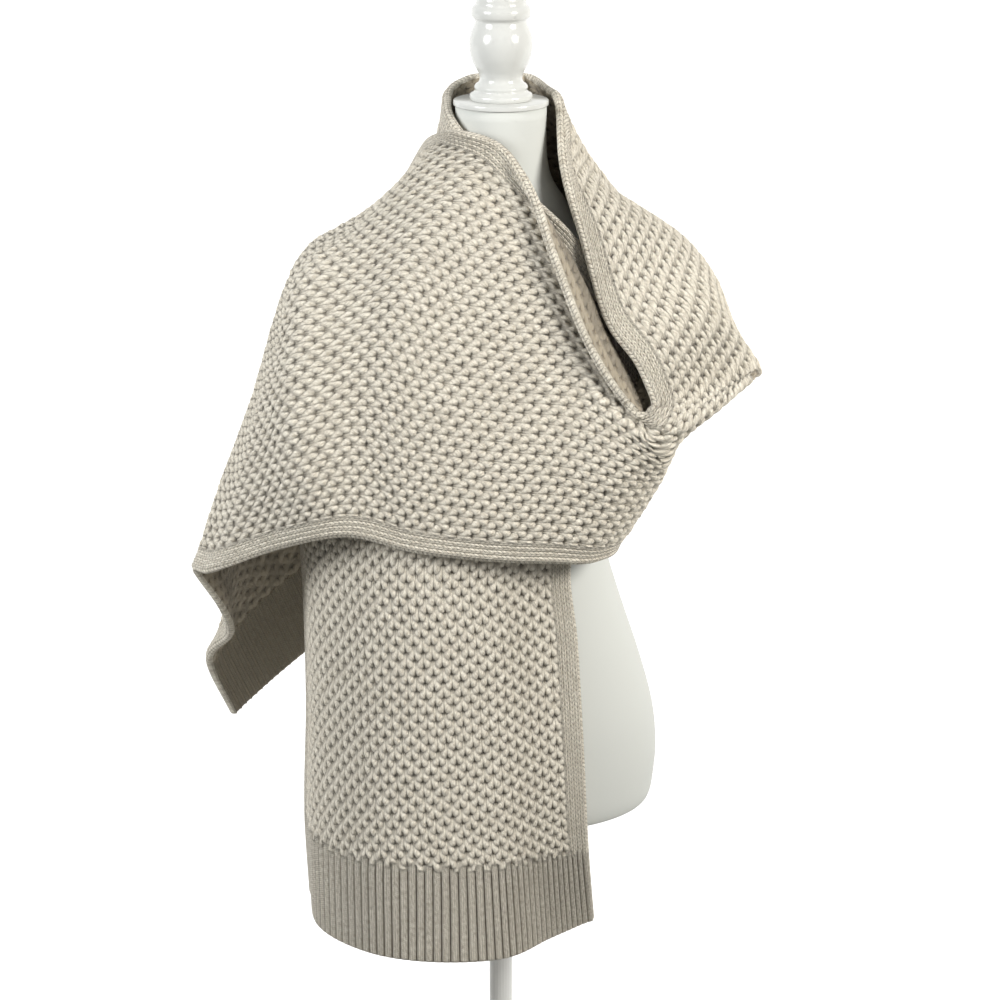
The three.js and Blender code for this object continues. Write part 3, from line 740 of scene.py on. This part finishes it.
# Where each point lies in the knit (mm): by the pattern, and by the nearer long edge.
def placesInKnit(stretch, at, across):
    neckSide, freeSide = sampled(fromNeck, at, across), sampled(fromFree, at, across)
    neckLine, freeLine = (np.interp(at, patternAt, line)[:, None] for line in (neckLength, freeLength))
    if stretch["fromFree"]:
        u, v = strip["width"] - freeSide / strip["wrapStretch"], sampled(freeAlong, at, across)
    else:
        u, v = neckSide, sampled(neckAlong, at, across)
    edgeAlong = np.where(neckSide < freeSide, neckLine, freeLine)
    return {"u": u, "v": v, "nearEdge": np.minimum(neckSide, freeSide), "edgeAlong": edgeAlong}


# Share of the wall's thickness that is left towards a free end.
def endRound(stretch, at):
    away = {"start": at - at[0], "end": at[-1] - at}.get(stretch.get("freeEnd"))
    if away is None:
        return np.ones((len(at), 1))
    share = np.clip(away / strip["endRound"], 0, 1)
    return np.sqrt(np.clip(1 - (1 - share) ** 2, strip["endThin"], 1))[:, None]


# Three lines of points round each long edge, from the right side to the wrong side.
def rimLines(centre, normal, half, thin):
    rims = []
    for edge, inside in ((0, 1), (-1, -2)):
        way = unitRows(centre[:, edge] - centre[:, inside])
        size = (half[:, edge] * thin[:, 0])[:, None]
        for angle in strip["rimAngles"]:
            turn = math.radians(angle)
            raised = math.cos(turn) * normal[:, edge] * size
            rims.append(centre[:, edge] + raised + math.sin(turn) * way * size * strip["rimReach"])
    return rims


# Faces of the closed wall: right side, wrong side, rims, and a fan of triangles at each end.
def wallFaces(right, back, rim, pick):
    def quads(a, b, c, d):
        return np.stack([a.ravel(), b.ravel(), c.ravel(), d.ravel()], axis=1)

    faces = [quads(right[:-1, :-1], right[1:, :-1], right[1:, 1:], right[:-1, 1:])]
    faces.append(quads(back[:-1, :-1], back[:-1, 1:], back[1:, 1:], back[1:, :-1]))
    neckRim = [right[:, 0], rim[0], rim[1], rim[2], back[:, 0]]
    freeRim = [back[:, -1], rim[5], rim[4], rim[3], right[:, -1]]
    for lines in (neckRim, freeRim):
        for one, other in zip(lines[:-1], lines[1:]):
            faces.append(quads(one[:-1], other[:-1], other[1:], one[1:]))
    ends = []
    for row in (0, -1):
        fan = []
        for k in range(len(pick) - 1):
            low, high = pick[k], pick[k + 1]
            for c in range(low, high):
                fan.append((back[row, k], right[row, c], right[row, c + 1]))
            fan.append((back[row, k], right[row, high], back[row, k + 1]))
        for hub, lines in ((back[row, 0], neckRim[:-1]), (back[row, -1], freeRim[1:])):
            for one, other in zip(lines[:-1], lines[1:]):
                fan.append((hub, other[row], one[row]))
        ends += fan if row == 0 else [(a, c, b) for a, b, c in fan]
    return faces, ends


# One closed wall over a stretch of the strip: fine right side, plain wrong side, rounded long edges.
def knitStretch(stretch):
    first = stationOf(stretch["from"]) + strip["join"] / 2
    last = stationOf(stretch["to"]) - strip["join"] / 2
    at, across = placesAlong(stretch, first, last), placesAcross(stretch)
    knit = placesInKnit(stretch, at, across)
    ribbed = stretch.get("ribbed", False)
    toHem = None
    if "hemAt" in stretch:
        toHem = np.abs(at - stationOf(stretch["hemAt"]))[:, None]
    fineTo = stretch.get("fineTo", 2)
    fineness = 1 - smoothStep(across, fineTo - 0.02, fineTo)[None, :]
    height, twist, plain, stitchX, stitchY, lift = relief(across, knit, toHem, ribbed, fineness)

    normal = outward(at, across)
    centre = middle(at, across) + normal * creaseRelief(at, across)[..., None]
    half = np.repeat(halfWall(across)[None, :], len(at), axis=0)
    thin = endRound(stretch, at)
    sunk, ribSunk = strip["sunk"], strip["ribRise"] * strip["ribSunk"]
    if ribbed:
        sunk = ribSunk
    elif toHem is not None:
        sunk = sunk + (ribSunk - sunk) * (1 - smoothStep(toHem, 0, strip["hemFade"]))
    rightSide = centre + normal * ((half - sunk + height) * thin)[..., None]

    # The wrong side needs fewer points across, apart from ribs, which show there as well.
    pick = np.unique(np.concatenate([
        np.round(np.linspace(0, len(across) - 1, strip["wrongSteps"])).astype(int),
        [4, 9, 14, len(across) - 15, len(across) - 10, len(across) - 5],
    ]))
    wrongHeight = np.zeros_like(half)
    if ribbed:
        pick = np.arange(len(across))
        wrongHeight = strip["ribRise"] * strip["ribWrong"] - height * strip["ribFollow"]
    wrongSide = (centre - normal * ((half + wrongHeight) * thin)[..., None])[:, pick]
    rims = rimLines(centre, normal, half, thin)
    vertices = np.concatenate([rightSide.reshape(-1, 3), wrongSide.reshape(-1, 3)] + rims)

    rows, columns, wrong = len(at), len(across), len(pick)
    right = np.arange(rows * columns).reshape(rows, columns)
    back = rows * columns + np.arange(rows * wrong).reshape(rows, wrong)
    rimStart = rows * columns + rows * wrong
    rim = rimStart + np.arange(6 * rows).reshape(6, rows)
    faces, ends = wallFaces(right, back, rim, pick)
    quadCount = sum(len(part) for part in faces)
    mesh = bpy.data.meshes.new(stretch["name"] + "Mesh")
    allFaces = np.concatenate(faces).tolist() + [tuple(int(i) for i in face) for face in ends]
    mesh.from_pydata((vertices * mm).tolist(), [], allFaces)

    # Values on the right side, carried on to the points of the wrong side and the rims.
    def everywhere(values, rimValue=None):
        edges = [values[:, 0]] * 3 + [values[:, -1]] * 3
        if rimValue is not None:
            edges = [np.full(rows, rimValue)] * 6
        return np.concatenate([values.ravel(), values[:, pick].ravel()] + edges)

    values = {
        "lift": everywhere(np.clip(lift, 0, 1), strip["wrongLift"]),
        "twist": everywhere(twist),
        "plain": everywhere(plain, 1.0),
    }
    # the lift sets the painted shade: none on the rims and the wrong side, but the ribs' wrong side darkens
    # behind their tops
    backRows = slice(rows * columns, rimStart)
    values["lift"][backRows] = strip["wrongLift"]
    if ribbed:
        values["lift"][backRows] = (1 - lift[:, pick] * strip["ribFollow"]).ravel()
    else:
        values["plain"][backRows] = 0.0
    for name, data in values.items():
        mesh.attributes.new(name, "FLOAT", "POINT").data.foreach_set("value", data)
    corners = np.empty(len(mesh.loops), int)
    mesh.loops.foreach_get("vertex_index", corners)
    knitPlaces = np.stack([everywhere(knit["u"]), everywhere(knit["v"])], axis=1) * mm
    stitchPlaces = np.stack([everywhere(stitchX), everywhere(stitchY)], axis=1)
    for k in range(6):
        stitchPlaces[rim[k], 0] -= (k % 3 + 1) * plainKnit["rimStep"]
    for name, places in (("knit", knitPlaces), ("stitch", stitchPlaces)):
        mesh.uv_layers.new(name=name).data.foreach_set("uv", places[corners].ravel())
    slots = np.zeros(len(mesh.polygons), int)
    slots[len(faces[0]) : len(faces[0]) + len(faces[1])] = 1
    mesh.polygons.foreach_set("material_index", slots)
    mesh.polygons.foreach_set("use_smooth", np.ones(len(mesh.polygons), bool))
    mesh.materials.append(woolRight)
    mesh.materials.append(woolWrong)

    sharp = np.zeros(len(mesh.edges), bool)
    pairs = np.empty(len(mesh.edges) * 2, int)
    mesh.edges.foreach_get("vertices", pairs)
    for row in (0, rows - 1):
        onEnd = np.zeros(len(mesh.vertices), bool)
        for points in (right[row], back[row], rim[:, row]):
            onEnd[points] = True
        sharp |= onEnd[pairs.reshape(-1, 2)].all(axis=1)
    mesh.attributes.new("sharp_edge", "BOOLEAN", "EDGE").data.foreach_set("value", sharp)
    mesh.update()
    scarf = bpy.data.objects.new(stretch["name"], mesh)
    bpy.context.collection.objects.link(scarf)
    print(stretch["name"], quadCount * 2 + len(ends), "triangles")
    return scarf, last - first


stretches = [
    {"name": "frontRibHem", "node": "front_rib_hem", "from": "hemEnd", "to": "hemTop", "ribbed": True,
     "freeEnd": "start", "sparser": 2.0, "rests": ["frontPanel"]},
    {"name": "frontPanel", "node": "front_panel", "from": "hemTop", "to": "ribCage", "hemAt": "hemTop",
     "rests": ["leftShoulderUnder"]},
    {"name": "leftShoulderUnder", "node": "left_shoulder_under", "from": "ribCage", "to": "napeLeft",
     "fineTo": 0.2, "sparser": 1.6, "rests": ["formBody"]},
    {"name": "backStretch", "node": "back_stretch", "from": "napeLeft", "to": "napeRight",
     "sparser": 1.25, "rests": ["formBody"]},
    {"name": "rightCollar", "node": "right_collar", "from": "napeRight", "to": "elbow",
     "rests": ["formBody"]},
    {"name": "rightFold", "node": "right_fold", "from": "elbow", "to": "turn", "rests": ["formBody"]},
    {"name": "chestWrap", "node": "chest_wrap", "from": "turn", "to": "yokeLeft", "rests": ["formBody"]},
    {"name": "leftCape", "node": "left_cape", "from": "yokeLeft", "to": "endTop", "hemAt": "endTop",
     "rests": ["formBody"]},
    {"name": "backRibHem", "node": "back_rib_hem", "from": "endTop", "to": "endHem", "ribbed": True,
     "freeEnd": "end", "sparser": 2.0, "rests": ["leftCape"]},
]

scarfPieces = {}
for stretch in stretches:
    stretch["fromFree"] = stationOf(stretch["from"]) >= stationOf("turn")
    scarfPieces[stretch["name"]], stretch["length"] = knitStretch(stretch)
print("scarf made")


# Dress form, cap and finial.

torso = {"segments": 128, "between": 4}

# Rows of the form as in the part's source: height, half width, depth in front and behind.
torsoRows = [
    (496, 147, 103, 101), (499, 155, 110, 108), (507, 160, 114, 112), (524, 163, 117, 115),
    (560, 165.5, 118, 116), (606, 161, 117, 114), (662, 146, 110, 108), (718, 127.5, 100, 98),
    (769, 112, 90, 88), (805, 104.5, 86, 83), (850, 109, 93, 84), (900, 121, 107, 89),
    (940, 134, 119, 94), (975, 146, 122, 96), (1020, 158, 110, 93), (1055, 163, 91, 86),
    (1076, 152, 79, 77), (1092, 131, 70, 69), (1108, 104, 62, 61), (1126, 80, 56, 56),
    (1150, 64, 51, 51), (1172, 51, 48, 48), (1200, 46, 46, 46), (1244.7, 46, 46, 46),
]


def makeTorso():
    rows = np.array(torsoRows, float)
    places = np.arange(len(rows), dtype=float)
    count = (len(rows) - 1) * torso["between"] + 1
    fine = cubicWeights(places, np.linspace(0, len(rows) - 1, count)) @ rows
    angles = np.linspace(0, 2 * math.pi, torso["segments"], endpoint=False)
    depth = np.where(np.sin(angles)[None, :] < 0, fine[:, 2:3], fine[:, 3:4])
    x = fine[:, 1:2] * np.cos(angles)
    y = depth * np.sin(angles)
    z = np.repeat(fine[:, 0:1], len(angles), axis=1)
    points = np.stack([x, y, z], axis=-1).reshape(-1, 3)
    index = np.arange(len(points)).reshape(x.shape)
    beside = np.roll(index, -1, axis=1)
    faces = np.stack([index[:-1], beside[:-1], beside[1:], index[1:]], axis=-1).reshape(-1, 4).tolist()
    faces += [index[0][::-1].tolist(), index[-1].tolist()]
    mesh = bpy.data.meshes.new("torsoMesh")
    mesh.from_pydata((points * mm).tolist(), [], faces)
    smooth = np.ones(len(mesh.polygons), bool)
    smooth[-2:] = False
    mesh.polygons.foreach_set("use_smooth", smooth)
    mesh.materials.append(jerseyCover)
    body = bpy.data.objects.new("formBody", mesh)
    bpy.context.collection.objects.link(body)
    return body


# A turned piece: a disc drawn upwards ring by ring.
def turnedPiece(name, profile, material, sides=96):
    bpy.ops.object.select_all(action="DESELECT")
    radius, height = profile[0]
    bpy.ops.mesh.primitive_circle_add(
        vertices=sides, radius=radius * mm, fill_type="NGON", location=(0, 0, height * mm)
    )
    piece = bpy.context.object
    piece.name = name
    bpy.ops.object.transform_apply(location=True, rotation=True, scale=True)
    bpy.ops.object.mode_set(mode="EDIT")
    bpy.ops.mesh.select_mode(type="FACE")
    bpy.ops.mesh.select_all(action="SELECT")
    for nextRadius, nextHeight in profile[1:]:
        step = (0, 0, (nextHeight - height) * mm)
        bpy.ops.mesh.extrude_region_move(TRANSFORM_OT_translate={"value": step})
        ratio = nextRadius / radius
        bpy.ops.transform.resize(value=(ratio, ratio, 1), center_override=(0, 0, nextHeight * mm))
        radius, height = nextRadius, nextHeight
    bpy.ops.mesh.select_all(action="SELECT")
    bpy.ops.mesh.normals_make_consistent(inside=False)
    bpy.ops.object.mode_set(mode="OBJECT")
    bpy.ops.object.shade_smooth_by_angle(angle=math.radians(34))
    piece.data.materials.clear()
    piece.data.materials.append(material)
    return piece


# A smooth profile through rows of radius and height, kept off the axis at its tip.
def smoothProfile(rows, between=4, tip=0.4):
    points = np.array(rows, float)
    places = np.concatenate([[0], np.cumsum(np.linalg.norm(np.diff(points, axis=0), axis=1))])
    pairs = zip(places[:-1], places[1:])
    at = np.concatenate([np.linspace(a, b, between, endpoint=False) for a, b in pairs])
    fine = cubicWeights(places, np.append(at, places[-1])) @ points
    return [(max(r, tip), z) for r, z in fine]


# Radius and height of the cap, and of the finial above the top of the neck.
neckTop = 1250.0
capProfile = [
    (47.5, 1245.0), (48.0, 1245.5), (48.0, 1246.0), (48.0, 1248.8), (47.7, 1249.6), (47.0, 1250.0),
]
finialRows = [
    (30.5, 0.3), (31.8, 3), (31.2, 6), (28, 8), (26.4, 10), (27, 13), (25.6, 15.5), (22.6, 18), (21.4, 22),
    (22.6, 27), (26.4, 34), (30.4, 44), (32, 56), (30.4, 67), (26.6, 76), (26.2, 80), (29, 83),
    (29.9, 87.5), (29, 92), (26, 95), (25, 102), (21.5, 110), (14.5, 116), (7.5, 119.2), (0.4, 120),
]

formBody = makeTorso()
neckCap = turnedPiece("neckCap", capProfile, glossPaint)
finial = turnedPiece("finialTurned", smoothProfile([(r, neckTop + up) for r, up in finialRows]), glossPaint)
print("form made")

# The stand keeps its solids and gets its coat.
for name in ("bottom_flange", "pole", "base"):
    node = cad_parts[name]
    if not node.material_slots:
        node.data.materials.append(powderCoat)
    for slot in node.material_slots:
        slot.material = powderCoat


# What each piece stands for.

pieces = [(scarfPieces[stretch["name"]], stretch["node"], "wool_knit") for stretch in stretches]
pieces += [
    (formBody, "torso", "jersey_cover"),
    (neckCap, "neck_cap", "painted_wood"),
    (finial, "finial", "painted_wood"),
]
for piece, node, slot in pieces:
    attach(piece, "root")
    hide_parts(node)
for stretch in stretches:
    piece, flat = scarfPieces[stretch["name"]], (strip["width"] * mm, stretch["length"] * mm)


# Floor, light and camera.

studio = {
    "half": 9.0,
    "wallAt": 5.0,
    "paper": "#8f8f8c",
    "roughness": 0.9,
    "glowFrom": -0.1,  # the floor glows more and more between these two depths
    "glowTo": 0.48,
    "glow": 1.05,
    "air": 0.3,  # even light from all round
}


# Pale studio paper: it shines of itself behind the object, as paper does under lamps of its own.
def makeSweep():
    material, tree, shader = newMaterial("paleStudioPaper")
    place = addNode(tree, "TexCoord").outputs["Object"]
    depth = addNode(tree, "SeparateXYZ", [place]).outputs[1]
    ramp = (depth, studio["glowFrom"], studio["glowTo"], 0.0, studio["glow"])
    glow = addNode(tree, "MapRange", ramp, interpolation_type="SMOOTHSTEP")
    white = colour("#ffffff")
    look = {"Base Color": colour(studio["paper"]), "Roughness": studio["roughness"]}
    fillInputs(tree, shader, {"Emission Color": white, "Emission Strength": glow, **look})
    half, sheets = studio["half"], []
    for name, y, z, turn in (("studioFloor", 0, 0, 0), ("studioWall", studio["wallAt"], half, math.pi / 2)):
        bpy.ops.object.select_all(action="DESELECT")
        bpy.ops.mesh.primitive_plane_add(size=2 * half, location=(0, y, z), rotation=(turn, 0, 0))
        bpy.ops.object.transform_apply(location=True, rotation=True, scale=True)
        sheet = bpy.context.object
        sheet.name = name
        sheet.data.materials.append(material)
        sheets.append(sheet)


# A round soft light that looks at a place.
def makeLight(name, place, target, size, power, tint):
    data = bpy.data.lights.new(name, "AREA")
    data.shape = "DISK"
    data.size = size
    data.energy = power
    data.color = colour(tint)[:3]
    light = bpy.data.objects.new(name, data)
    bpy.context.collection.objects.link(light)
    light.location = place
    way = np.array(target) - np.array(place)
    flat = math.hypot(way[0], way[1])
    light.rotation_euler = (math.atan2(flat, -way[2]), 0, math.atan2(-way[0], way[1]))


makeSweep()
chest = (0, 0, 1.05)
makeLight("keyLight", (1.5, -1.05, 1.85), chest, 0.8, 38, "#fffcf7")
makeLight("fillLight", (-1.45, -1.05, 1.8), chest, 0.9, 31, "#fdfeff")
world = bpy.data.worlds.new("studioAir")
bpy.context.scene.world = world
world.use_nodes = True
evenLight = {"Color": colour("#ffffff"), "Strength": studio["air"]}
fillInputs(world.node_tree, world.node_tree.nodes["Background"], evenLight)

view = {"lens": 108.1, "sensor": 36.0, "place": (-0.001, -3.0, 1.752), "tilt": 72.9}
cameraData = bpy.data.cameras.new("camera")
cameraData.lens = view["lens"]
cameraData.sensor_width = view["sensor"]
camera = bpy.data.objects.new("camera", cameraData)
bpy.context.collection.objects.link(camera)
camera.location = view["place"]
camera.rotation_euler = (math.radians(view["tilt"]), 0, 0)
bpy.context.scene.camera = camera
bpy.context.scene.view_settings.view_transform = "Standard"
print("stage set")
